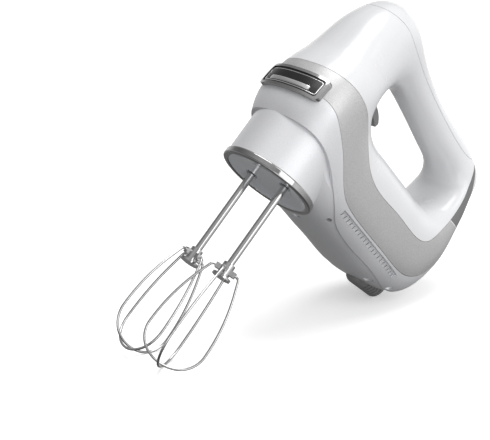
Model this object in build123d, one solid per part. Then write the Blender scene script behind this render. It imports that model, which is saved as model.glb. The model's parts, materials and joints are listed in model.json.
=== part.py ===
"""Electric hand mixer: hollow housing, worm-driven spindles, beater ejector and two wire beaters.

Everything is drawn in a working frame whose z axis is the spindle direction: x runs rearward,
-y is the mixer's left side, and the origin is the centre of the bezel ring's lower face, midway
between the spindles. place() then leans the finished mixer back so that it stands on its
beaters and its rear foot, which is how every node is exported.
"""
from build123d import *
import os
from math import acos, atan2, cos, degrees, hypot, pi, radians, sin, tan

# ---------------------------------------------------------------- driving dimensions (mm)
WALL = 2.4                  # housing wall
STEP = 0.9                  # how far the lower tray is set back from the skirt
SEAM = 0.3                  # gap between neighbouring housing shells
SPINDLE_Y = 16.0            # each spindle's distance from the centre plane
WORM_Z = 38.0               # height of the motor shaft above the bezel face
SHAFT_R = 2.5               # beater shaft and knockout pin
RUNNING = 0.06              # radial clearance of a running fit
SPINDLE_R = 4.0
SPINDLE_BOTTOM, SPINDLE_TOP = 3.5, 64.0
BEATER_TOP = 47.8           # top end of the beater shaft inside the spindle
WHEEL_TEETH = 28
WHEEL_PITCH_R = 11.6
WORM_PITCH_R = SPINDLE_Y - WHEEL_PITCH_R
WORM_DEPTH = 0.7            # half the height of the worm's thread
THREAD_PITCH = 2 * pi * WHEEL_PITCH_R / WHEEL_TEETH
NECK_R = 33.0
BEZEL_R = 34.2
COLLAR_Z = -61.0            # top of the beater collar
CAGE_TIP = -139.5           # lowest point of a beater
CAGE_R = 22.3               # widest point of a beater's wire loop
WIRE_R = 0.85
LOOP_ARCS = (18.0, 26.0, 130.0, 19.5)    # a loop's shoulder, base and side radii, side's lean
BEATER_PHASE = {"left": 33.5, "right": 78.5}   # turn of each beater's first loop from +x
TRIGGER_PIVOT = (10.0, 92.0)
TRIGGER_TRAVEL = 16.0       # degrees
EJECT_STROKE = 5.5
FOOT_X, FOOT_REAR = 119.0, 150.0   # ends of the round foot under the heel
FOOT_Z = 9.8                # height of the foot's axis at its rear face
FOOT_R = 8.0
FOOT_TILT = 8.5             # degrees by which the foot rises rearward
INLET_R, INLET_Z = 2.5, 5.1  # cord inlet in the foot's rear face
INLET_DEPTH = 5.0
PANEL_FRONT, PANEL_REAR = (17.2, 152.3), (48.5, 141.7)   # ends of the control panel, (x, z)
SIDES = {"left": -1, "right": 1}

# Stations round the hand opening: inner (x, z), outer (x, z), half width, squareness.
STATIONS = [
    (78.0, 68.5, 78.0, -1.0, 36.0, 3.0),
    (56.0, 68.5, 48.0, -1.0, 36.4, 3.0),
    (42.0, 69.0, 16.0, 0.0, 36.8, 2.8),
    (32.0, 72.0, -16.0, 14.0, 37.3, 2.6),
    (25.0, 78.0, -35.0, 40.0, 37.3, 2.4),
    (22.0, 86.0, -34.0, 69.5, 36.0, 2.3),
    (24.0, 95.0, -25.5, 96.5, 32.0, 2.3),
    (31.0, 104.0, -18.6, 127.3, 27.5, 2.3),
    (41.0, 110.5, -6.0, 148.4, 22.5, 2.3),
    (50.0, 113.5, 14.5, 152.8, 18.6, 2.4),
    (60.0, 113.5, 46.0, 142.4, 16.2, 2.4),
    (80.0, 110.8, 81.0, 134.6, 15.2, 2.3),
    (104.0, 107.0, 108.0, 132.8, 15.5, 2.3),
    (127.0, 104.0, 132.5, 130.5, 18.0, 2.3),
    (138.0, 97.5, 153.0, 122.5, 22.0, 2.5),
    (138.0, 87.5, 158.5, 102.0, 25.0, 2.6),
    (133.0, 78.0, 164.0, 76.0, 27.5, 2.6),
    (123.5, 71.0, 165.5, 42.0, 30.5, 2.7),
    (107.0, 68.8, 150.0, 10.0, 33.5, 2.8),
    (91.0, 68.5, 112.0, -0.5, 35.5, 3.0),
]

# Seams seen from the side, (x, z), from the nose rearward.
BAND_TOP = [(-70, 76.5), (-26, 75.2), (-10, 72.8), (3, 69.3), (12, 64.6), (22, 56.4), (34, 47.2),
            (47, 42.5), (83, 42.6), (111, 43), (122, 45), (130.3, 49.5), (137, 59), (142, 70),
            (145.4, 83), (146.4, 93), (146, 103), (144.4, 112), (142, 124)]
BAND_BOTTOM = [(-70, 56.5), (-38, 56), (-24, 54.6), (-12, 48.5), (-2, 42.5), (8, 36), (20, 27),
               (32, 20.5), (46, 18), (92, 17.5), (119, 18), (130.5, 20.3), (141, 26), (150, 35.5),
               (155.3, 45), (157.8, 58), (156.8, 74), (154.4, 92), (150, 106), (145.6, 117),
               (142, 124)]
LIP = [(-70, 34.8), (-38, 34.5), (-16, 33.2), (-4, 29.6), (8, 24.2), (20, 17.6), (32, 11.6),
       (42, 7.4), (54, 5.2), (100, 4.9), (128, 5.4), (142, 8), (152, 14), (175, 30)]
COVER_SEAM = [(-30, 137.6), (-12, 138.6), (-4, 138.4), (4, 137.8), (13, 135.8), (28, 133.4),
              (47, 130.6), (70, 127.4), (100, 124), (124, 121.4), (135, 122.2), (142, 125.8),
              (150, 134), (162, 147)]
VENT = (39.0, 124.0, 11.6, 15.6)        # x from, x to, z from, z to
DIVIDER_Z = 75.5
BADGE = (58.8, 17.4, 54.0)              # middle z, height, width
BADGE_RIM = 2.1
BADGE_GAP = 0.25                        # the badge's back stays this far off the nose
DETENT = (40.8, 26.3, 5.3, 36.5)        # x, y, z and sideways turn of the storage case's detent
DETENT_R = 2.2
REAR_POCKET = (135.0, 23.2, 9.9)        # x, y and roof of the case's rear latch pocket
FRAME_SCREWS = [(40.5, 0.0, 0.2), (118.0, -17.0, 4.2), (118.0, 17.0, 4.2)]   # x, y, lowest z


# ---------------------------------------------------------------- outer form
def between(a, b, c, d, t):
    """Catmull-Rom value a part t of the way from b to c."""
    return 0.5 * (2 * b + (c - a) * t + (2 * a - 5 * b + 4 * c - d) * t ** 2
                  + (3 * b - a - 3 * c + d) * t ** 3)


def station_at(s):
    i = int(s) % len(STATIONS)
    rows = [STATIONS[(i + k) % len(STATIONS)] for k in (-1, 0, 1, 2)]
    return [between(*column, s - int(s)) for column in zip(*rows)]


def station_wire(s, inset, count=20):
    ix, iz, ox, oz, half_width, square = station_at(s)
    length = hypot(ox - ix, oz - iz)
    ux, uz = (ox - ix) / length, (oz - iz) / length
    points = []
    for i in range(count):
        turn = 2 * pi * i / count
        r = (abs(cos(turn)) ** square + abs(sin(turn)) ** square) ** (-1 / square)
        u = (length / 2 - inset) * r * cos(turn)
        points.append(((ix + ox) / 2 + u * ux, (half_width - inset) * r * sin(turn),
                       (iz + oz) / 2 + u * uz))
    return Wire([Spline(points, periodic=True)])


def form(inset=0.0, first=0, last=len(STATIONS), steps=3):
    """The outer form shrunk by inset: the whole loop round the hand opening, or a part of it."""
    pieces = []
    for start in range(first, last, 2):
        wires = [station_wire(start + k / steps, inset) for k in range(2 * steps + 1)]
        pieces.append(Solid.make_loft(wires))
    return pieces[0].fuse(*pieces[1:])


def underside(inset):
    """The form from the heel to the nose, below the hand opening."""
    return form(inset, 17, 25)


def prism(outline, half=60.0):
    """An (x, z) outline, extruded across the mixer."""
    return extrude(Plane.XZ * make_face(outline), amount=half, both=True)


def above(seam, shift=0.0, top=200.0):
    """Everything above a side-view seam, moved by shift along z."""
    points = [(x, z + shift) for x, z in seam]
    curve = Spline(points)
    return prism([curve, Polyline(points[-1], (points[-1][0], top), (points[0][0], top), points[0])])


def inside(lower, upper):
    """The region between two side-view seams that come together at their rear ends."""
    outline = [Spline(lower), Spline(upper[::-1]), Line(upper[0], lower[0])]
    if upper[-1] != lower[-1]:
        outline.append(Line(lower[-1], upper[-1]))
    return prism(outline)


def block(x0, x1, y0, y1, z0, z1):
    return Pos((x0 + x1) / 2, (y0 + y1) / 2, (z0 + z1) / 2) * Box(x1 - x0, y1 - y0, z1 - z0)


def rod(r, z0, z1, x=0.0, y=0.0):
    return Pos(x, y, (z0 + z1) / 2) * Cylinder(r, z1 - z0)


def rod_x(r, x0, x1, y=0.0, z=WORM_Z):
    return Pos((x0 + x1) / 2, y, z) * Rot(Y=90) * Cylinder(r, x1 - x0)


def rod_y(r, y0, y1, x, z):
    return Pos(x, (y0 + y1) / 2, z) * Rot(X=90) * Cylinder(r, y1 - y0)


def grown(seam, amount):
    """A seam moved sideways by amount, to the left of its direction of travel."""
    moved = []
    for i, (x, z) in enumerate(seam):
        ax, az = seam[max(i - 1, 0)]
        bx, bz = seam[min(i + 1, len(seam) - 1)]
        length = hypot(bx - ax, bz - az)
        moved.append((x - amount * (bz - az) / length, z + amount * (bx - ax) / length))
    return moved


OUTER = form()
INNER = form(WALL)
SHELL = OUTER - INNER
BAND_REGION = inside(BAND_BOTTOM, BAND_TOP)
BAND_HOLE = inside(grown(BAND_BOTTOM, -SEAM), grown(BAND_TOP, SEAM))
REAR_TOP = (BAND_TOP[-1], (166.0, 150.0))
PANEL_ANGLE = degrees(atan2(PANEL_REAR[1] - PANEL_FRONT[1], PANEL_REAR[0] - PANEL_FRONT[0]))
PANEL_AT = Pos((PANEL_FRONT[0] + PANEL_REAR[0]) / 2, 0, (PANEL_FRONT[1] + PANEL_REAR[1]) / 2) \
    * Rot(Y=-PANEL_ANGLE)
PANEL_LENGTH = hypot(PANEL_REAR[0] - PANEL_FRONT[0], PANEL_REAR[1] - PANEL_FRONT[1])
PANEL_WIDTH = 17.0
PANEL_DEPTH = 4.6


# ---------------------------------------------------------------- housing shells
def rear_region(shift=0.0):
    """Side-view region of the rear cover, behind the band."""
    edge = [(x + shift, z) for x, z in BAND_BOTTOM[13:]]
    end = (REAR_TOP[1][0] + shift, REAR_TOP[1][1])
    return prism([Spline(edge), Polyline(edge[-1], end, (220, 150), (220, 30), (175, 30), edge[0])])


def upper_housing():
    white = SHELL & above(BAND_TOP + [REAR_TOP[1]], SEAM)
    white -= BAND_HOLE
    white -= above(COVER_SEAM, -SEAM)
    white -= rear_region(-SEAM)
    slot = block(15, 34, -6.5, 6.5, 80.0, 98.5)
    return solids_of(white - slot)


def handle_cover():
    cover = SHELL & above(COVER_SEAM)
    cover -= rear_region(-SEAM)
    opening = PANEL_AT * Box(PANEL_LENGTH + 0.2, PANEL_WIDTH + 0.2, 20)
    return solids_of(cover - opening)


def solids_of(shape):
    """The largest solid of a cut, without crumbs."""
    return max(shape.solids(), key=lambda solid: solid.volume)


def trim_band():
    band = SHELL & BAND_REGION
    return solids_of(band - block(120, 200, -60, 60, DIVIDER_Z - 0.6, 160))


def rear_strips():
    strips = SHELL & BAND_REGION & block(120, 200, -60, 60, DIVIDER_Z + 0.6, 160)
    return Compound(sorted(strips.solids(), key=lambda s: -s.volume)[:2])


def rear_cover():
    """Rim behind the band, with the thin bar that crosses it at the divider."""
    rim = SHELL & rear_region()
    bar = SHELL & block(143.9, 158.5, -60, 60, DIVIDER_Z - 0.45, DIVIDER_Z + 0.45)
    return solids_of(rim + bar)


def flare(inset=0.0):
    """Plan-view limit of the lower tray, which runs into the sides of the neck."""
    half = [(0, 32.98), (12, 33.2), (22, 33.9), (32, 35), (46, 37.5), (70, 40)]
    half = [(x + inset, y - inset) for x, y in half]
    far = [(x, -y) for x, y in half[::-1]]
    outline = [Spline(half), Polyline(half[-1], (220, 40), (220, -40), far[0]), Spline(far),
               Line(far[-1], half[0])]
    return Pos(0, 0, -20) * extrude(make_face(outline), amount=90)


def skirt_region():
    """Side view of the lower housing's outer wall, from its lip up to the band."""
    top = [(x, z - SEAM) for x, z in BAND_BOTTOM[:14]]
    corner = (LIP[-1][0], LIP[-1][1] - SEAM)
    return prism([Spline(LIP), Line(LIP[0], top[0]), Spline(top), Line(top[-1], corner),
                  Line(corner, LIP[-1])])


def below_lip(shift=0.0):
    """Everything below the lip, moved by shift along z."""
    lip = [(x, z + shift) for x, z in LIP]
    return prism([Spline(lip), Polyline(lip[-1], (lip[-1][0], -30), (lip[0][0], -30), lip[0])])


def lower_housing():
    """Skirt, set-back tray and neck in one moulding, hollowed from inside."""
    body = form(0.0, 17, 27) & skirt_region()
    body += underside(STEP) & flare() & below_lip(1.1)
    body += rod(NECK_R, 3.6, 40) & below_lip(1.1)
    room = above(LIP, 2.6) + flare(WALL)
    hollow = form(STEP + WALL, 17, 27) & room
    body -= hollow + rod(NECK_R - WALL, -5, 40)
    body -= rod(BEZEL_R + 0.1, -5, 3.55)
    x0, x1, z0, z1 = VENT
    body -= block(x0, x1, 20, 45, z0, z1)
    body -= block(x0, x1, -45, -20, z0, z1)
    x, y, z, turn = DETENT
    for side in SIDES.values():
        body -= Pos(x, side * y, z) * Rot(X=side * turn) * Cylinder(DETENT_R, 6.0)
        body -= rod(2.5, -5, REAR_POCKET[2], REAR_POCKET[0], side * REAR_POCKET[1])
    for x, y, z in FRAME_SCREWS:
        body += rod(5.0, z, z + 4.8, x, y)
        body -= rod(3.3, z - 5, z + 2.4, x, y)
        body -= rod(1.7, z, z + 6, x, y)
    return solids_of(body)


# ---------------------------------------------------------------- nose trim
def bezel_ring():
    ring = Cylinder(BEZEL_R, 5.0) - Cylinder(NECK_R - 3.0, 5.0)
    ring = fillet(ring.edges().filter_by(GeomType.CIRCLE), 1.1)
    return Pos(0, 0, 1.0) * ring


def spindle_plate():
    """Shallow dish that closes the neck, with a slotted hole for each beater."""
    r = NECK_R - 3.05
    profile = Polyline((0, 1.0), (19, 1.0), (26.5, 0.0), (r, -0.9), (r, 3.0), (0, 3.0), (0, 1.0))
    dish = revolve(Plane.XZ * make_face(profile), Axis.Z)
    for side in SIDES.values():
        dish -= rod(SPINDLE_R + 0.4, -3, 6, 0, side * SPINDLE_Y)
        dish -= block(-6.2, 6.2, side * SPINDLE_Y - 0.9, side * SPINDLE_Y + 0.9, -3, 6)
    return dish


def badge_blank(rim):
    """A rounded bar along x with the badge's outline, rim narrower all round."""
    middle, height, width = BADGE
    outline = RectangleRounded(width - 2 * rim, height - 2 * rim, 3.4 - 0.8 * rim)
    return Pos(-70, 0, middle) * extrude(Plane.YZ * outline, amount=60)


def badge(rim, proud):
    """A rounded plate that wraps round the nose and stands proud of it."""
    return solids_of((form(-proud, 3, 7) - form(-BADGE_GAP, 3, 7)) & badge_blank(rim))


# ---------------------------------------------------------------- foot, cord outlet, vents
def cord_boss():
    """Ribbed round foot under the heel, with the cord's inlet bore in its rear face."""
    length = FOOT_REAR - FOOT_X
    sleeve = Rot(Y=90) * Cylinder(FOOT_R, length)
    sleeve = fillet(sleeve.edges().group_by(Axis.X)[0], 4.0)
    sleeve = fillet(sleeve.edges().group_by(Axis.X)[-1], 0.8)
    for i in range(5):
        x = length / 2 - 4 - 3.2 * i
        sleeve -= Pos(x, 0, 0) * Rot(Y=90) * (Cylinder(FOOT_R + 1, 1.1) - Cylinder(FOOT_R - 0.6, 2))
    body = Pos(FOOT_REAR, 0, FOOT_Z) * Rot(Y=-FOOT_TILT) * Pos(-length / 2, 0, 0) * sleeve
    body -= block(FOOT_REAR - 0.6, FOOT_REAR + 9, -12, 12, -9, 30)
    body -= rod_x(INLET_R, FOOT_REAR - 0.62 - INLET_DEPTH, FOOT_REAR + 1, 0, INLET_Z)
    return solids_of((body - underside(STEP)) & below_lip())


def vent_louvres():
    """Slotted strips set into the two side vents, a little below the surface."""
    x0, x1, z0, z1 = VENT
    skin = form(STEP + 0.9, 18, 22) - form(STEP + 2.2, 18, 22)
    strips = []
    for side in SIDES.values():
        near, far = sorted((side * 20, side * 45))
        strip = skin & block(x0 + 0.05, x1 - 0.05, near, far, z0 + 0.05, z1 - 0.05)
        for i in range(20):
            x = x0 + 2.6 + i * 4.2
            strip -= block(x, x + 0.9, near, far, z0 + 0.7, z1 - 0.7)
        strips.append(solids_of(strip))
    return Compound(strips)


# ---------------------------------------------------------------- gear train
def wheel_outline(phase):
    points = []
    for i in range(WHEEL_TEETH):
        middle = phase + 2 * pi * i / WHEEL_TEETH
        for r, offset in ((10.6, -0.75), (11.6, -0.4), (12.0, -0.17), (12.0, 0.17), (11.6, 0.4),
                          (10.6, 0.75)):
            points.append((r * cos(middle + offset / r), r * sin(middle + offset / r)))
    return Polyline(points, close=True)


def worm_wheel(side):
    """Helical wheel pressed on its spindle; one has a tooth, the other a gap, facing the worm."""
    face = 8.0
    phase = 0.0 if side < 0 else pi / WHEEL_TEETH
    twist = degrees(THREAD_PITCH / (2 * pi * WORM_PITCH_R) / WHEEL_PITCH_R) * face
    outline = Rot(Z=-twist / 2) * Face(Wire(wheel_outline(phase).edges()))
    gear = Solid.extrude_linear_with_rotation(outline, (0, 0, 0), (0, 0, face), twist)
    gear = Pos(0, side * SPINDLE_Y, WORM_Z - face / 2) * gear
    hub = rod(7.5, WORM_Z - face / 2 - 1.5, WORM_Z + face / 2 + 1.5, 0, side * SPINDLE_Y)
    return gear + hub - rod(SPINDLE_R, 20, 60, 0, side * SPINDLE_Y)


def spindle(side):
    tube = rod(SPINDLE_R, SPINDLE_BOTTOM, SPINDLE_TOP) - rod(SHAFT_R + RUNNING, 0, 70)
    tube -= block(-6, 6, -0.75, 0.75, 0, 11)
    return Pos(0, side * SPINDLE_Y, 0) * tube


def worm(length=22.0):
    circle = Face(Wire(Edge.make_circle(WORM_PITCH_R).moved(Pos(WORM_DEPTH, 0, 0)).edges()))
    turns = length / THREAD_PITCH
    twisted = Solid.extrude_linear_with_rotation(circle, (0, 0, 0), (0, 0, length), 360 * turns)
    # local x becomes +y at the middle of the length, local z becomes +x
    upright = Rot(Z=-180 * turns) * (Pos(0, 0, -length / 2) * twisted)
    frame = Plane(origin=(0, 0, WORM_Z), x_dir=(0, 1, 0), z_dir=(1, 0, 0))
    return frame * upright


def motor_shaft():
    """Armature shaft with the worm rolled on its front end."""
    shaft = rod_x(2.5, -16.8, 119.5)
    return shaft + worm()


def bush(side, z0, z1):
    ring = rod(6.0, z0, z1) - rod(SPINDLE_R + RUNNING, z0 - 1, z1 + 1)
    return Pos(0, side * SPINDLE_Y, 0) * ring


def gearbox_case(z0, z1, r):
    return rod(r, z0, z1) & block(-17.5, 17.5, -40, 40, z0, z1)


def gear_pocket(z0, z1):
    pocket = block(-13, 13, -8, 8, WORM_Z - 6.3, WORM_Z + 6.3)
    for side in SIDES.values():
        pocket += rod(12.6, WORM_Z - 6.3, WORM_Z + 6.3, 0, side * SPINDLE_Y)
    return pocket & block(-30, 30, -40, 40, z0, z1)


def gearbox_lower():
    case = gearbox_case(8, WORM_Z, 29.8) - gear_pocket(0, WORM_Z)
    for side in SIDES.values():
        case -= rod(6.0, 12, 22, 0, side * SPINDLE_Y)
        case -= rod(SPINDLE_R + 0.8, 0, 40, 0, side * SPINDLE_Y)
    return case - rod_x(4.5, -30, 30)


def gearbox_upper():
    case = gearbox_case(WORM_Z, 50, 29.8) - gear_pocket(WORM_Z, 80)
    for side in SIDES.values():
        case += rod(8.0, 50, 60, 0, side * SPINDLE_Y)
        case -= rod(6.0, 52, 61, 0, side * SPINDLE_Y)
        case -= rod(SPINDLE_R + 0.8, 40, 70, 0, side * SPINDLE_Y)
    for x, y in GUIDES:
        case -= rod(1.99, 44.5, 52, x, y)
    return case - rod_x(4.5, -30, 30)


def shaft_bearing(x0, x1, r=4.5):
    return rod_x(r, x0, x1) - rod_x(2.5 + RUNNING, x0 - 1, x1 + 1)


# ---------------------------------------------------------------- motor
STATOR = (63.0, 91.0)
ARMATURE_R = 13.4


def stator_core():
    x0, x1 = STATOR
    outline = Plane.YZ * RectangleRounded(50, 42, 9)
    core = Pos(x0, 0, WORM_Z) * extrude(outline, amount=x1 - x0)
    core -= rod_x(ARMATURE_R + 0.6, x0 - 1, x1 + 1)
    for side in SIDES.values():
        for level in SIDES.values():
            core -= rod_x(4.0, x0 - 1, x1 + 1, side * 15.5, WORM_Z + level * 10.5)
    return core


def field_coils():
    """Two saddle windings that show as half rings beyond the stator's ends."""
    coils = []
    for side in SIDES.values():
        coil = None
        for x0, x1 in ((STATOR[0] - 7, STATOR[0]), (STATOR[1], STATOR[1] + 6)):
            arc = rod_x(20.0, x0, x1) - rod_x(14.4, x0 - 1, x1 + 1)
            arc &= block(x0, x1, 6, 30, WORM_Z - 17, WORM_Z + 17)
            coil = arc if coil is None else coil + arc
        for level in SIDES.values():
            coil += rod_x(3.6, STATOR[0] - 3, STATOR[1] + 3, 15.5, WORM_Z + level * 10.5)
        coil = coil - rod_x(14.4, STATOR[0] - 10, STATOR[1] + 10)
        coils.append(coil.solid() if side > 0 else mirror(coil, Plane.XZ).solid())
    return Compound(coils)


def armature_core():
    x0, x1 = STATOR
    core = rod_x(ARMATURE_R, x0, x1)
    for i in range(12):
        turn = 2 * pi * i / 12
        core -= rod_x(1.5, x0 - 1, x1 + 1, 12.6 * cos(turn), WORM_Z + 12.6 * sin(turn))
    return core - rod_x(2.5, x0 - 1, x1 + 1)


def armature_windings():
    ends = []
    for x0, x1 in ((STATOR[0] - 6, STATOR[0]), (STATOR[1], STATOR[1] + 5)):
        end = rod_x(11.6, x0, x1) - rod_x(2.5, x0 - 1, x1 + 1)
        outer = end.edges().filter_by(GeomType.CIRCLE).filter_by(lambda e: e.radius > 10)
        ends.append(fillet(outer, 2.0).solid())
    return Compound(ends)


def commutator():
    body = rod_x(8.5, 98.5, 108) - rod_x(2.5, 90, 110)
    for i in range(24):
        groove = Pos(0, 0, WORM_Z) * Rot(X=15.0 * i) * block(98, 109, 8.0, 9.5, -0.2, 0.2)
        body -= groove
    return body


def cooling_fan():
    hub = rod_x(8.0, 44, 55) + rod_x(21.0, 53.5, 55)
    for i in range(11):
        blade = Pos(0, 0, WORM_Z) * Rot(X=360.0 * i / 11) * block(45, 53.6, 7.5, 20.5, -0.7, 0.7)
        hub += blade
    return hub - rod_x(2.5, 40, 60)


def carbon_brushes():
    pair = [block(100.5, 106.0, 8.6, 17.0, WORM_Z - 2.4, WORM_Z + 2.4)]
    pair.append(mirror(pair[0], Plane.XZ))
    return Compound([part.solid() for part in pair])


def brush_holders():
    holder = block(99.0, 107.5, 10.5, 22.0, WORM_Z - 3.8, WORM_Z + 3.8)
    holder -= block(100.5, 106.0, 5, 19.0, WORM_Z - 2.4, WORM_Z + 2.4)
    return Compound([holder.solid(), mirror(holder, Plane.XZ).solid()])


def motor_frame():
    """Plastic cradle that carries the stator, the brush holders and the rear bearing."""
    frame = block(26, 122, -11, 11, 10.5, 13)
    frame += block(65, 89, -11, 11, 12, WORM_Z - 21)
    for x, y, z in FRAME_SCREWS:
        frame += rod(4.0, z + 4.9, 16, x, y)
        frame -= rod(1.5, z, z + 11.1, x, y)
    wall = block(111.5, 116.5, -24, 24, 12, WORM_Z + 14)
    wall = fillet(wall.edges().filter_by(Axis.X).group_by(Axis.Z)[-1], 8)
    frame += wall
    for side in SIDES.values():
        near, far = sorted((side * 18.8, side * 23.8))
        frame += block(100, 112, near, far, WORM_Z - 5.5, WORM_Z - 3.8)
        frame += block(100, 112, near, far, WORM_Z + 3.8, WORM_Z + 5.5)
    for side in SIDES.values():
        frame += block(26, 29, side * 9 - 2, side * 9 + 2, 12, 20)
    return frame - rod_x(5.0, 110, 118)


# ---------------------------------------------------------------- ejector
GUIDES = [(-10.0, -9.0), (-10.0, 9.0)]
PLATE_Z = 79.0


def ejector_plate():
    plate = block(-14, 5, -20, 20, PLATE_Z, PLATE_Z + 3)
    plate = fillet(plate.edges().filter_by(Axis.Z), 4)
    plate += rod(3.2, PLATE_Z + 2, PLATE_Z + 6.0, -10, 0)
    for x, y in GUIDES:
        plate -= rod(2.05, PLATE_Z - 5, PLATE_Z + 9, x, y)
    return plate


def ejector_guides():
    """Two pins that the ejector plate slides on, pressed into the gearbox."""
    return Compound([rod(1.99, 44.5, 93, x, y).solid() for x, y in GUIDES])


def ejector_spring(r=4.0, wire=0.5, turns=5, foot=50.0, x=-2.0):
    """Return spring between the gearbox and the ejector plate."""
    height = PLATE_Z - foot - 2 * wire
    path = Edge.make_helix(height / turns, height, r)
    profile = Plane(origin=path @ 0, z_dir=path % 0) * Circle(wire)
    return Pos(x, 0, foot + wire) * sweep(profile, path)


def knockout_pin(side):
    pin = rod(SHAFT_R, BEATER_TOP + 0.1, 76) + rod(4.2, 75, PLATE_Z - 0.2)
    return Pos(0, side * SPINDLE_Y, 0) * pin


def eject_trigger():
    """Rocking lever: a finger paddle behind the column and a nose over the ejector plate."""
    px, pz = TRIGGER_PIVOT
    hub = rod_y(4.2, -9, 9, px, pz)
    arm = prism([Polyline((px, pz + 3.2), (26, 91.8), (26, 86.4), (px, pz - 3.8), (px, pz + 3.2))], 4.5)
    outline = [Spline([(25, 92.2), (32, 91.6), (40, 88.6), (45.4, 83.6)]),
               Polyline((45.4, 83.6), (44.4, 80.4)),
               Spline([(44.4, 80.4), (37, 84.2), (31, 85.8), (25, 86.2)]),
               Line((25, 86.2), (25, 92.2))]
    paddle = prism(outline, 9.0)
    paddle = fillet(paddle.edges().filter_by(lambda e: e.center().X > 44), 1.0)
    nose = prism([Polyline((px, pz + 3.8), (px, pz - 2.0), (-7.5, 85.3), (-11.5, 85.3), (-11.5, 88.5),
                           (px, pz + 3.8))], 4.0)
    lever = hub + arm + paddle + nose
    return solids_of(lever - rod_y(1.55, -20, 20, px, pz))


def lever_pin():
    return rod_y(1.5, -19.4, 19.4, *TRIGGER_PIVOT)


def lever_bracket():
    """Two cheeks that carry the trigger's pivot pin, standing on the gearbox."""
    px, pz = TRIGGER_PIVOT
    bracket = None
    for side in SIDES.values():
        near, far = sorted((side * 10.0, side * 12.5))
        cheek = block(7.5, 14, near, far, 50, pz)
        cheek += rod_y(3.25, near, far, px + 0.75, pz)
        bracket = cheek if bracket is None else bracket + cheek
    bracket += block(8, 14, -12.5, 12.5, 50, 53)
    bracket += block(11, 14, -12.5, 12.5, 68, 72)
    return bracket - rod_y(1.5, -20, 20, px, pz)


# ---------------------------------------------------------------- controls
def control_panel():
    tray = Box(PANEL_LENGTH - 0.1, PANEL_WIDTH - 0.1, PANEL_DEPTH)
    tray = Pos(0, 0, -PANEL_DEPTH / 2 - 0.4) * tray
    tray -= Pos(0, 0, -PANEL_DEPTH / 2 + 1.1) * Box(PANEL_LENGTH - 2.4, PANEL_WIDTH - 2.4, PANEL_DEPTH)
    tray -= Pos(4.5, 0, -5) * Box(20.0, 3.4, 8)
    tray -= Pos(-11.0, 0, -5) * Cylinder(3.9, 8)
    return PANEL_AT * tray


def speed_slider():
    knob = Box(9.0, 11.0, 2.6)
    knob = fillet(knob.edges().filter_by(Axis.Z), 2.0)
    knob = fillet(knob.faces().sort_by(Axis.Z)[-1].edges(), 0.6)
    knob = Pos(0, 0, -1.95) * knob
    for i in range(3):
        knob -= Pos(-2 + 2 * i, 0, -0.7) * Box(0.7, 8.0, 0.6)
    knob += Pos(0, 0, -6.4) * Box(4.0, 2.8, 6.8)
    return PANEL_AT * (Pos(-1.5, 0, 0) * knob)


def burst_button():
    cap = Pos(-11.0, 0, -4.9) * Cylinder(3.6, 7.4)
    cap = fillet(cap.edges().group_by(Axis.Z)[-1], 0.8)
    return PANEL_AT * cap


def slide_switch():
    case = Pos(4.65, 0, -12.2) * Box(23.7, 9.0, 7.0)
    case -= Pos(4.5, 0, -8.6) * Box(20.0, 3.4, 4.0)
    return PANEL_AT * case


def burst_switch():
    return PANEL_AT * (Pos(-11.6, 0, -13.3) * Box(6.4, 8.0, 4.8))


def control_board():
    return PANEL_AT * (Pos(0.5, 0, -16.5) * Box(34.0, 14.0, 1.6))


def filter_capacitor():
    return PANEL_AT * (Pos(10.0, 0, -19.3) * Box(12.0, 6.0, 4.0))


def speed_triac():
    plate = Box(9.0, 6.0, 1.2) + Pos(0, 0, -1.6) * Box(5.0, 5.0, 2.0)
    return PANEL_AT * (Pos(-8.5, 0, -17.9) * plate)


# ---------------------------------------------------------------- beaters
def beater_shaft(side):
    shaft = rod(SHAFT_R, COLLAR_Z - 4, BEATER_TOP)
    shaft = chamfer(shaft.edges().group_by(Axis.Z)[-1], 0.8)
    shaft -= rod(SHAFT_R + 1, 40, 41.5) - rod(SHAFT_R - 0.5, 39, 42)
    shaft += block(-3.8, 3.8, -0.55, 0.55, 4.5, 10.5)
    return Pos(0, side * SPINDLE_Y, 0) * shaft


def beater_collar(side):
    """Crimped sleeve and plate that gather the ends of the wire loops."""
    z = COLLAR_Z
    sleeve = rod(4.2, z - 10.5, z) - rod(SHAFT_R, z - 4, z + 1)
    plate = rod(6.6, z - 10.5, z - 9.0)
    collar = sleeve + plate
    for i in range(4):
        lug = Rot(Z=90.0 * i) * block(3.5, 7.4, -1.8, 1.8, z - 6.6, z - 3.0)
        collar += lug
    for i in range(4):
        bore = Rot(Z=90.0 * i) * rod_x(WIRE_R + 0.02, 4.6, 9, 0, z - 4.8)
        collar -= bore
    return Pos(0, side * SPINDLE_Y, 0) * Rot(Z=phase_of(side)) * collar


def phase_of(side):
    return BEATER_PHASE["left" if side < 0 else "right"]


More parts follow.
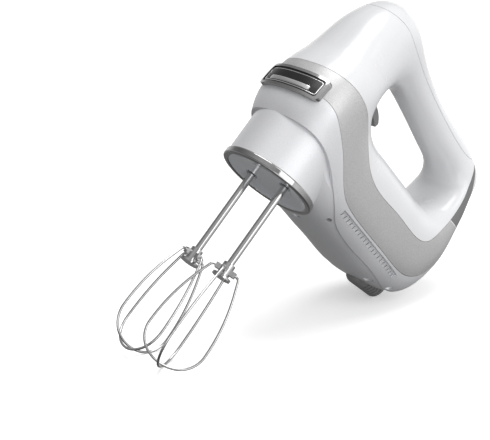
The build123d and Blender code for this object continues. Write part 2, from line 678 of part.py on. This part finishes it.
def loop_path(width, tip):
    """One wire loop: out of the collar, down in a full curve and round the tip, and back."""
    top = COLLAR_Z - 4.8
    depth = top - tip
    shoulder, base, side, lean = LOOP_ARCS[0], LOOP_ARCS[1], LOOP_ARCS[2], radians(LOOP_ARCS[3])
    reach = acos((width - shoulder) / (base - shoulder))
    low = depth - base + (base - shoulder) * sin(reach)

    def on_side(turn):
        return width - side * (1 - cos(turn)), low - side * sin(turn)

    def on_shoulder(turn):
        return width - shoulder * (1 - cos(turn)), low + shoulder * sin(turn)

    def on_base(turn):
        return base * cos(turn), depth - base + base * sin(turn)

    edge = on_side(lean)
    corner = edge[0] - edge[1] * tan(lean)
    half = (pi / 2 - lean) / 2
    cut = 3.0 * tan(half)
    runs = [((4.6, 0.0), None, (corner - cut, 0.0)),
            ((corner - cut, 0.0), (corner - cut + 3.0 * sin(half), 3.0 * (1 - cos(half))),
             (corner + cut * sin(lean), cut * cos(lean))),
            ((corner + cut * sin(lean), cut * cos(lean)), None, edge),
            (edge, on_side(lean / 2), on_side(0.0)),
            (on_side(0.0), on_shoulder(reach / 2), on_shoulder(reach)),
            (on_shoulder(reach), on_base((reach + pi / 2) / 2), (0.0, depth))]
    edges = []
    for sign in (1, -1):
        for run in runs[::sign]:
            start, middle, end = [p and (sign * p[0], 0, top - p[1]) for p in run[::sign]]
            edges.append(ThreePointArc(start, middle, end) if middle else Line(start, end))
    return Wire(edges)


def beater_loop(side, quarter, width, tip):
    path = loop_path(width, tip)
    profile = Plane(origin=path @ 0, z_dir=path % 0) * Circle(WIRE_R)
    loop = sweep(profile, path)
    return Pos(0, side * SPINDLE_Y, 0) * Rot(Z=phase_of(side) + 90.0 * quarter) * loop


# ---------------------------------------------------------------- screws
def frame_screws():
    """Screws that hold the motor frame down, their heads sunk in the underside."""
    screws = []
    for x, y, z in FRAME_SCREWS:
        body = rod(3.0, z + 0.6, z + 2.4, x, y) + rod(1.5, z + 2.4, z + 11, x, y)
        body -= block(x - 2.2, x + 2.2, y - 0.4, y + 0.4, z, z + 1.4)
        screws.append(body.solid())
    return Compound(screws)


# ---------------------------------------------------------------- assembly
def build():
    nodes = {
        "upper_housing": upper_housing(),
        "handle_cover": handle_cover(),
        "trim_band": trim_band(),
        "rear_strips": rear_strips(),
        "rear_cover": rear_cover(),
        "lower_housing": lower_housing(),
        "bezel_ring": bezel_ring(),
        "spindle_plate": spindle_plate(),
        "badge_plate": badge(BADGE_RIM + 0.05, 1.9),
        "badge_frame": badge(0.0, 2.8) - badge_blank(BADGE_RIM),
        "cord_boss": cord_boss(),
        "vent_louvres": vent_louvres(),
        "gearbox_lower": gearbox_lower(),
        "gearbox_upper": gearbox_upper(),
        "worm_bearing_front": shaft_bearing(-17.5, -13.2),
        "worm_bearing_rear": shaft_bearing(13.2, 17.5),
        "motor_rear_bearing": shaft_bearing(111.5, 116.5, 5.0),
        "motor_frame": motor_frame(),
        "motor_shaft": motor_shaft(),
        "stator_core": stator_core(),
        "field_coils": field_coils(),
        "armature_core": armature_core(),
        "armature_windings": armature_windings(),
        "commutator": commutator(),
        "cooling_fan": cooling_fan(),
        "carbon_brushes": carbon_brushes(),
        "brush_holders": brush_holders(),
        "ejector_plate": ejector_plate(),
        "ejector_guides": ejector_guides(),
        "ejector_spring": ejector_spring(),
        "eject_trigger": eject_trigger(),
        "lever_pin": lever_pin(),
        "lever_bracket": lever_bracket(),
        "control_panel": control_panel(),
        "speed_slider": speed_slider(),
        "burst_button": burst_button(),
        "slide_switch": slide_switch(),
        "burst_switch": burst_switch(),
        "control_board": control_board(),
        "filter_capacitor": filter_capacitor(),
        "speed_triac": speed_triac(),
        "frame_screws": frame_screws(),
    }
    for name, side in SIDES.items():
        nodes[f"spindle_{name}"] = spindle(side)
        nodes[f"worm_wheel_{name}"] = worm_wheel(side)
        nodes[f"spindle_bush_lower_{name}"] = bush(side, 12, 22)
        nodes[f"spindle_bush_upper_{name}"] = bush(side, 52, 60)
        nodes[f"knockout_pin_{name}"] = knockout_pin(side)
        nodes[f"beater_shaft_{name}"] = beater_shaft(side)
        nodes[f"beater_collar_{name}"] = beater_collar(side)
        nodes[f"beater_loop_wide_{name}"] = beater_loop(side, 0, CAGE_R, CAGE_TIP)
        nodes[f"beater_loop_narrow_{name}"] = beater_loop(side, 1, CAGE_R - 1.2, CAGE_TIP + 1.75)
    return nodes


NODES = build()


def lowest(shape, lean):
    return (Rot(Y=lean) * shape).bounding_box().min.Z


def find_lean():
    """The lean at which the beaters and the foot touch the same floor."""
    loops = Compound([NODES[name].solid() for name in NODES if name.startswith("beater_loop")])
    foot = NODES["cord_boss"]
    low, high = 30.0, 60.0
    for _ in range(22):
        middle = (low + high) / 2
        if lowest(loops, middle) < lowest(foot, middle):
            low = middle
        else:
            high = middle
    return (low + high) / 2


LEAN = find_lean()
OUTERMOST = [n for n in NODES if n.startswith("beater_loop")] + ["upper_housing", "rear_cover",
                                                                 "cord_boss", "bezel_ring"]
BOXES = [(Rot(Y=LEAN) * NODES[name]).bounding_box() for name in OUTERMOST]
SHIFT = (-(min(b.min.X for b in BOXES) + max(b.max.X for b in BOXES)) / 2, 0.0,
         -min(b.min.Z for b in BOXES))


def place(shape):
    return Pos(*SHIFT) * Rot(Y=LEAN) * shape


os.makedirs("parts", exist_ok=True)
for node, shape in NODES.items():
    export_step(place(shape), f"parts/{node}.step")
print(f"lean {LEAN:.3f} degrees, shift {SHIFT[0]:.3f}, {SHIFT[2]:.3f} mm, {len(NODES)} nodes")
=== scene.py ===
"""Looks of the hand mixer: materials for its CAD nodes and the small pieces that only Blender makes.

Units are metres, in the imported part's frame: the mixer stands on z = 0, leaning back on its
beaters and its heel, with its nose towards -x and its left side towards -y. The badge's line and
bar are laid out in the spindle frame, whose z axis is the spindle direction.
"""
import json
import math

import bpy
from mathutils import Euler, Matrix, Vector
from mathutils.bvhtree import BVHTree


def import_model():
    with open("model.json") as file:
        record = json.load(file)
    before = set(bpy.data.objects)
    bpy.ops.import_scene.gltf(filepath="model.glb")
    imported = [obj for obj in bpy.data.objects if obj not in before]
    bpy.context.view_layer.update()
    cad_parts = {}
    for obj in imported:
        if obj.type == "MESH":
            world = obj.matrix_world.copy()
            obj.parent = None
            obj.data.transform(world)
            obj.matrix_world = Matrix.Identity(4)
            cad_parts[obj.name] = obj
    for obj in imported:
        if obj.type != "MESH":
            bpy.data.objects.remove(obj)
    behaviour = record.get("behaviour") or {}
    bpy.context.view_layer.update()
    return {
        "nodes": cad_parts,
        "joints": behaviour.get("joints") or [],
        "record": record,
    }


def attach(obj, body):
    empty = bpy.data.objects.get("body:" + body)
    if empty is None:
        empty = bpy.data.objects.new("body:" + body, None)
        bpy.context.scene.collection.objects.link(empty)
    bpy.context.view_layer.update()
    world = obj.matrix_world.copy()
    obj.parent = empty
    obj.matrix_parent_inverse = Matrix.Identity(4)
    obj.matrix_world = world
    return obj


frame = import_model()

CAMERA_AT = (-0.6956, -0.6949, 0.4120)
CAMERA_TURN = (70.628, -2.846, -41.335)   # degrees about x, y and z
LENS_MM = 113.1
SENSOR_MM = 36.0
SPINDLE_JOINT_Z = 0.038                  # height of the spindle joint's point in the spindle frame
SKY = [(0.0, 0.10), (0.2, 0.22), (0.36, 0.70), (0.5, 1.10), (0.6, 0.90), (0.68, 0.48),
       (0.8, 0.42), (0.92, 0.65), (1.0, 0.95)]    # greys from straight down to straight up
DIM_SIDE = (-0.75, 0.66, 0.0)
BADGE_Z, BADGE_HEIGHT, BADGE_WIDTH = 0.0588, 0.0132, 0.0498    # middle, and size of the plate
BADGE_STEP = 0.001                       # spacing of points along the badge's straight runs
LINE_INSET, LINE_CORNER = 0.003, 0.0014  # how much less than the plate, and its corner radius
LINE_PROFILE = [(-0.00035, -0.0001), (-0.0002, 0.00012), (0.0, 0.00018), (0.0002, 0.00012),
                (0.00035, -0.0001)]      # offset across the line, lift above the plate
BAR_WIDTH, BAR_HEIGHT, BAR_CORNER, BAR_DROP = 0.036, 0.0031, 0.0009, 0.0027
BAR_RINGS = [(1.0, -0.0001), (0.99, 0.0001), (0.93, 0.0002), (0.5, 0.00024), (0.02, 0.00025)]
DIM_TO = 0.42                            # share of the sky's light left on the dim side
FLOOR_RADIUS, FLOOR_GLOW = 14.0, 0.36
AIM = (0.0, 0.0, 0.12)                   # what the lamps point at

joints = {row["name"]: row for row in frame["joints"]}
spindle = joints["spindle_spin_left"]
UP = Vector(spindle["axis"])             # spindle direction
AFT = Vector((UP.z, 0.0, -UP.x))         # rearward, square to the spindles
LEAN = math.atan2(UP.x, UP.z)
ORIGIN = Vector((spindle["pos_m"][0], 0.0, spindle["pos_m"][2])) - UP * SPINDLE_JOINT_Z


# ---------------------------------------------------------------- node helpers
def new_material(name):
    made = bpy.data.materials.new(name)
    made.use_nodes = True
    tree = made.node_tree
    tree.nodes.clear()
    output = tree.nodes.new("ShaderNodeOutputMaterial")
    shader = tree.nodes.new("ShaderNodeBsdfPrincipled")
    tree.links.new(shader.outputs["BSDF"], output.inputs["Surface"])
    return made, tree, shader


def coordinates(tree, stretch=(1.0, 1.0, 1.0)):
    """Metres in the spindle frame's directions, stretched along each."""
    place = tree.nodes.new("ShaderNodeTexCoord")
    turn = tree.nodes.new("ShaderNodeMapping")
    turn.inputs["Rotation"].default_value = (0.0, -LEAN, 0.0)
    tree.links.new(place.outputs["Object"], turn.inputs["Vector"])
    scale = tree.nodes.new("ShaderNodeMapping")
    scale.inputs["Scale"].default_value = stretch
    tree.links.new(turn.outputs["Vector"], scale.inputs["Vector"])
    return scale.outputs["Vector"]


def noise(tree, scale, detail=2.0, stretch=(1.0, 1.0, 1.0)):
    """Noise with scale cells per metre."""
    texture = tree.nodes.new("ShaderNodeTexNoise")
    texture.inputs["Scale"].default_value = scale
    texture.inputs["Detail"].default_value = detail
    tree.links.new(coordinates(tree, stretch), texture.inputs["Vector"])
    return texture.outputs["Fac"]


def flakes(tree, scale):
    """A random grey for each small cell."""
    texture = tree.nodes.new("ShaderNodeTexVoronoi")
    texture.inputs["Scale"].default_value = scale
    tree.links.new(coordinates(tree), texture.inputs["Vector"])
    split = tree.nodes.new("ShaderNodeSeparateColor")
    tree.links.new(texture.outputs["Color"], split.inputs["Color"])
    return split.outputs["Red"]


def bands(tree, scale, direction, distortion=0.0):
    """Even stripes across one direction of the spindle frame."""
    texture = tree.nodes.new("ShaderNodeTexWave")
    texture.bands_direction = direction
    texture.inputs["Scale"].default_value = scale
    texture.inputs["Distortion"].default_value = distortion
    tree.links.new(coordinates(tree), texture.inputs["Vector"])
    return texture.outputs["Fac"]


def ramp(tree, value, low, high, start=0.3, end=0.7):
    """Colours between low and high as value runs from start to end."""
    node = tree.nodes.new("ShaderNodeValToRGB")
    node.color_ramp.elements[0].position = start
    node.color_ramp.elements[1].position = end
    node.color_ramp.elements[0].color = (*low, 1.0)
    node.color_ramp.elements[1].color = (*high, 1.0)
    tree.links.new(value, node.inputs["Fac"])
    return node.outputs["Color"]


def grey(value):
    return (value, value, value)


def bump(tree, shader, value, height, strength=0.3):
    node = tree.nodes.new("ShaderNodeBump")
    node.inputs["Strength"].default_value = strength
    node.inputs["Distance"].default_value = height
    tree.links.new(value, node.inputs["Height"])
    tree.links.new(node.outputs["Normal"], shader.inputs["Normal"])


def finish(made, tree, shader, rough, metallic, coat, coat_rough):
    """Roughness that drifts over broad patches, and a clear coat."""
    patches = noise(tree, 45.0, 4.0)
    tree.links.new(ramp(tree, patches, grey(rough[0]), grey(rough[1])), shader.inputs["Roughness"])
    shader.inputs["Metallic"].default_value = metallic
    shader.inputs["Coat Weight"].default_value = coat
    shader.inputs["Coat Roughness"].default_value = coat_rough
    return made


def moulded(name, low, high, rough, cell=1400.0, relief=0.000004, coat=0.0, metallic=0.0,
            coat_rough=0.06):
    """Moulded or cast material with a fine surface texture."""
    made, tree, shader = new_material(name)
    cells = noise(tree, cell)
    tree.links.new(ramp(tree, cells, low, high), shader.inputs["Base Color"])
    bump(tree, shader, cells, relief)
    return finish(made, tree, shader, rough, metallic, coat, coat_rough)


def flaked(name, low, high, rough, cell, metallic, coat):
    """Metallic paint: flakes of random brightness under a clear coat."""
    made, tree, shader = new_material(name)
    value = flakes(tree, cell)
    tree.links.new(ramp(tree, value, low, high, 0.05, 0.95), shader.inputs["Base Color"])
    bump(tree, shader, value, 0.00001, 0.25)
    return finish(made, tree, shader, rough, metallic, coat, 0.1)


def drawn(name, low, high, rough, stretch):
    """Drawn or turned metal, with faint lines along or round it."""
    made, tree, shader = new_material(name)
    lines = noise(tree, 1800.0, 3.0, stretch)
    tree.links.new(ramp(tree, lines, low, high), shader.inputs["Base Color"])
    bump(tree, shader, lines, 0.000004, 0.2)
    return finish(made, tree, shader, rough, 1.0, 0.0, 0.05)


def striped(name, low, high, rough, scale, direction, distortion, metallic):
    """Stacked sheets or wound wire."""
    made, tree, shader = new_material(name)
    stripes = bands(tree, scale, direction, distortion)
    tree.links.new(ramp(tree, stripes, low, high, 0.1, 0.8), shader.inputs["Base Color"])
    bump(tree, shader, stripes, 0.0002, 0.6)
    return finish(made, tree, shader, rough, metallic, 0.0, 0.05)


# ---------------------------------------------------------------- materials
def materials():
    along = (1.0, 1.0, 0.02)
    round_shaft = (0.05, 1.0, 1.0)
    return {
        "white_gloss": moulded("white_gloss", (0.78, 0.785, 0.80), (0.81, 0.815, 0.83),
                               (0.20, 0.28), coat=0.35),
        "silver_band": flaked("silver_band", grey(0.50), grey(0.66), (0.44, 0.52), 4400.0, 0.6, 0.08),
        "pearl_grey": flaked("pearl_grey", (0.70, 0.705, 0.725), (0.79, 0.795, 0.815), (0.36, 0.44),
                             5200.0, 0.25, 0.15),
        "chrome_trim": drawn("chrome_trim", grey(0.40), grey(0.48), (0.05, 0.10), (1.0, 1.0, 1.0)),
        "silver_line": drawn("silver_line", grey(0.80), grey(0.88), (0.12, 0.20), (1.0, 1.0, 1.0)),
        "polished_dish": moulded("polished_dish", (0.78, 0.81, 0.86), (0.84, 0.87, 0.91),
                                 (0.12, 0.18), coat=0.5, metallic=0.15),
        "black_inlay": moulded("black_inlay", grey(0.004), grey(0.008), (0.22, 0.30), coat=0.0),
        "dark_grey": moulded("dark_grey", grey(0.16), grey(0.21), (0.36, 0.48), 2600.0, 0.00002),
        "steel_wire": drawn("steel_wire", grey(0.50), grey(0.64), (0.10, 0.18), along),
        "steel": drawn("steel", grey(0.42), grey(0.55), (0.22, 0.34), round_shaft),
        "bronze": moulded("bronze", (0.42, 0.26, 0.11), (0.58, 0.38, 0.17), (0.35, 0.5),
                          metallic=0.9),
        "nylon": moulded("nylon", (0.70, 0.68, 0.60), (0.78, 0.76, 0.68), (0.4, 0.5)),
        "gearbox": moulded("gearbox", grey(0.035), grey(0.055), (0.45, 0.6), 2200.0, 0.00003),
        "laminations": striped("laminations", grey(0.16), grey(0.36), (0.35, 0.5), 330.0, "X", 0.0,
                               0.9),
        "copper": striped("copper", (0.36, 0.12, 0.05), (0.68, 0.30, 0.14), (0.25, 0.4), 420.0,
                          "Y", 1.5, 0.9),
        "carbon": moulded("carbon", grey(0.012), grey(0.03), (0.55, 0.7), 2600.0, 0.00002),
        "board_green": moulded("board_green", (0.01, 0.07, 0.03), (0.02, 0.11, 0.05), (0.3, 0.4),
                               900.0, coat=0.2),
        "component": moulded("component", grey(0.012), grey(0.03), (0.35, 0.5)),
        "fan": moulded("fan", grey(0.02), grey(0.035), (0.4, 0.55)),
    }


MATERIALS = materials()


def dress_nodes():
    """Each CAD node takes the material of its record slot."""
    slots = {row["node"]: row["material_slot"] for row in frame["record"]["subparts"]}
    for name, node in frame["nodes"].items():
        node.data.materials.clear()
        node.data.materials.append(MATERIALS[slots[name]])


# ---------------------------------------------------------------- small pieces on the surface
def surface_of(node):
    mesh = frame["nodes"][node].data
    corners = [corner.co.copy() for corner in mesh.vertices]
    faces = [list(face.vertices) for face in mesh.polygons]
    return BVHTree.FromPolygons(corners, faces)


def on_surface(tree, start, heading, lift):
    """Where a line meets a node's surface, and lift above it, against the line's heading."""
    hit = tree.ray_cast(start, heading)[0]
    return None if hit is None else hit - heading * lift


def rounded_rectangle(width, height, radius, count):
    """Points round a rounded rectangle, with the outward normal at each."""
    points = []
    for corner in range(4):
        sign_a = 1 if corner in (0, 3) else -1
        sign_b = 1 if corner in (0, 1) else -1
        middle = (sign_a * (width / 2 - radius), sign_b * (height / 2 - radius))
        for i in range(count):
            turn = math.pi / 2 * (corner + i / (count - 1))
            normal = (math.cos(turn), math.sin(turn))
            points.append((middle[0] + radius * normal[0], middle[1] + radius * normal[1], *normal))
    return points


def add_piece(name, corners, faces, material):
    mesh = bpy.data.meshes.new(name)
    mesh.from_pydata([tuple(corner) for corner in corners], [], faces)
    mesh.validate()
    for face in mesh.polygons:
        face.use_smooth = True
    mesh.materials.append(material)
    piece = bpy.data.objects.new(name, mesh)
    bpy.context.scene.collection.objects.link(piece)
    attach(piece, "housing")
    return piece


def badge_spot(tree, across, up, lift):
    start = ORIGIN - AFT * 0.12 + Vector((0.0, across, 0.0)) + UP * (BADGE_Z + up)
    return on_surface(tree, start, AFT, lift)


def densified(outline):
    """The outline with points added along its straight runs."""
    dense = []
    for i, (a, b, na, nb) in enumerate(outline):
        following = outline[(i + 1) % len(outline)]
        steps = max(1, round(math.hypot(following[0] - a, following[1] - b) / BADGE_STEP))
        for k in range(steps):
            t = k / steps
            dense.append((a + (following[0] - a) * t, b + (following[1] - b) * t, na, nb))
    return dense


def badge_border(tree):
    """A thin raised silver line just inside the badge's frame."""
    dense = densified(rounded_rectangle(BADGE_WIDTH - LINE_INSET, BADGE_HEIGHT - LINE_INSET,
                                        LINE_CORNER, 8))
    corners = [badge_spot(tree, a + na * side, b + nb * side, lift)
               for a, b, na, nb in dense for side, lift in LINE_PROFILE]
    rows, width = len(dense), len(LINE_PROFILE)
    faces = [(i * width + k, i * width + k + 1, (i + 1) % rows * width + k + 1,
              (i + 1) % rows * width + k) for i in range(rows) for k in range(width - 1)]
    add_piece("badge_border", corners, faces, MATERIALS["silver_line"])


def badge_bar(tree):
    """A plain silver bar, slightly domed, along the lower part of the badge."""
    dense = densified(rounded_rectangle(BAR_WIDTH, BAR_HEIGHT, BAR_CORNER, 6))
    corners = [badge_spot(tree, a * size if size > 0.9 else a * (0.4 + 0.6 * size),
                          b * size - BAR_DROP, lift)
               for size, lift in BAR_RINGS for a, b, _, _ in dense]
    rows = len(dense)
    faces = [(r * rows + i, r * rows + (i + 1) % rows, (r + 1) * rows + (i + 1) % rows,
              (r + 1) * rows + i) for r in range(len(BAR_RINGS) - 1) for i in range(rows)]
    faces.append([(len(BAR_RINGS) - 1) * rows + i for i in range(rows)])
    add_piece("badge_bar", corners, faces, MATERIALS["silver_line"])


# ---------------------------------------------------------------- stage
def floor():
    made, tree, shader = new_material("floor_paper")
    cells = noise(tree, 14.0, 3.0)
    tree.links.new(ramp(tree, cells, grey(0.93), grey(0.95)), shader.inputs["Base Color"])
    shader.inputs["Roughness"].default_value = 0.6
    shader.inputs["Emission Color"].default_value = (1.0, 1.0, 1.0, 1.0)
    shader.inputs["Emission Strength"].default_value = FLOOR_GLOW
    bpy.ops.mesh.primitive_circle_add(vertices=96, radius=FLOOR_RADIUS, fill_type="NGON")
    ground = bpy.context.object
    ground.name = "floor"
    ground.data.materials.append(made)
    ground.visible_diffuse = False
    ground.visible_glossy = False


def area_light(name, at, towards, size, watts, shape=(1.0, 1.0)):
    data = bpy.data.lights.new(name, "AREA")
    data.shape = "RECTANGLE"
    data.size = size * shape[0]
    data.size_y = size * shape[1]
    data.energy = watts
    lamp = bpy.data.objects.new(name, data)
    bpy.context.scene.collection.objects.link(lamp)
    lamp.location = at
    lamp.rotation_euler = (Vector(towards) - Vector(at)).to_track_quat("-Z", "Y").to_euler()
    return lamp


def sun(name, heading, angle, strength):
    data = bpy.data.lights.new(name, "SUN")
    data.angle = math.radians(angle)
    data.energy = strength
    lamp = bpy.data.objects.new(name, data)
    bpy.context.scene.collection.objects.link(lamp)
    lamp.rotation_euler = Vector(heading).to_track_quat("-Z", "Y").to_euler()
    return lamp


def world():
    """A studio that is bright at the horizon and overhead, darker between and below, and dim on
    the side that the nose faces away to."""
    made = bpy.data.worlds.new("studio")
    bpy.context.scene.world = made
    made.use_nodes = True
    tree = made.node_tree
    place = tree.nodes.new("ShaderNodeTexCoord")
    split = tree.nodes.new("ShaderNodeSeparateXYZ")
    tree.links.new(place.outputs["Generated"], split.inputs["Vector"])
    rise = tree.nodes.new("ShaderNodeMapRange")
    rise.inputs["From Min"].default_value = -1.0
    tree.links.new(split.outputs["Z"], rise.inputs["Value"])
    shades = tree.nodes.new("ShaderNodeValToRGB")
    ramp_keys = shades.color_ramp.elements
    for at, _ in SKY[1:-1]:
        ramp_keys.new(at)
    for key, (at, value) in zip(ramp_keys, SKY):
        key.position = at
        key.color = (value, value, value, 1.0)
    tree.links.new(rise.outputs["Result"], shades.inputs["Fac"])
    side = tree.nodes.new("ShaderNodeVectorMath")
    side.operation = "DOT_PRODUCT"
    side.inputs[1].default_value = DIM_SIDE
    tree.links.new(place.outputs["Generated"], side.inputs[0])
    dim = tree.nodes.new("ShaderNodeMapRange")
    dim.interpolation_type = "SMOOTHSTEP"
    dim.inputs["From Min"].default_value = 0.0
    dim.inputs["From Max"].default_value = 0.9
    dim.inputs["To Min"].default_value = 1.0
    dim.inputs["To Max"].default_value = DIM_TO
    tree.links.new(side.outputs["Value"], dim.inputs["Value"])
    product = tree.nodes.new("ShaderNodeMix")
    product.data_type = "RGBA"
    product.blend_type = "MULTIPLY"
    product.inputs["Factor"].default_value = 1.0
    tree.links.new(shades.outputs["Color"], product.inputs["A"])
    tree.links.new(dim.outputs["Result"], product.inputs["B"])
    background = tree.nodes["Background"]
    tree.links.new(product.outputs["Result"], background.inputs["Color"])
    background.inputs["Strength"].default_value = 1.0


def lights():
    world()
    sun("soft_sun", (-0.12, -0.05, -1.0), 38.0, 1.25)
    area_light("softbox_front", (0.1, -1.9, 1.25), AIM, 1.5, 15.0, (0.8, 1.3))
    area_light("low_fill", (-0.9, -1.5, 0.1), AIM, 1.3, 5.0)


def camera():
    data = bpy.data.cameras.new("camera")
    data.lens = LENS_MM
    data.sensor_width = SENSOR_MM
    made = bpy.data.objects.new("camera", data)
    bpy.context.scene.collection.objects.link(made)
    made.location = CAMERA_AT
    made.rotation_euler = Euler([math.radians(turn) for turn in CAMERA_TURN])
    bpy.context.scene.camera = made


camera()
dress_nodes()
badge_tree = surface_of("badge_plate")
badge_border(badge_tree)
badge_bar(badge_tree)
floor()
lights()
bpy.context.scene.view_settings.view_transform = "Standard"
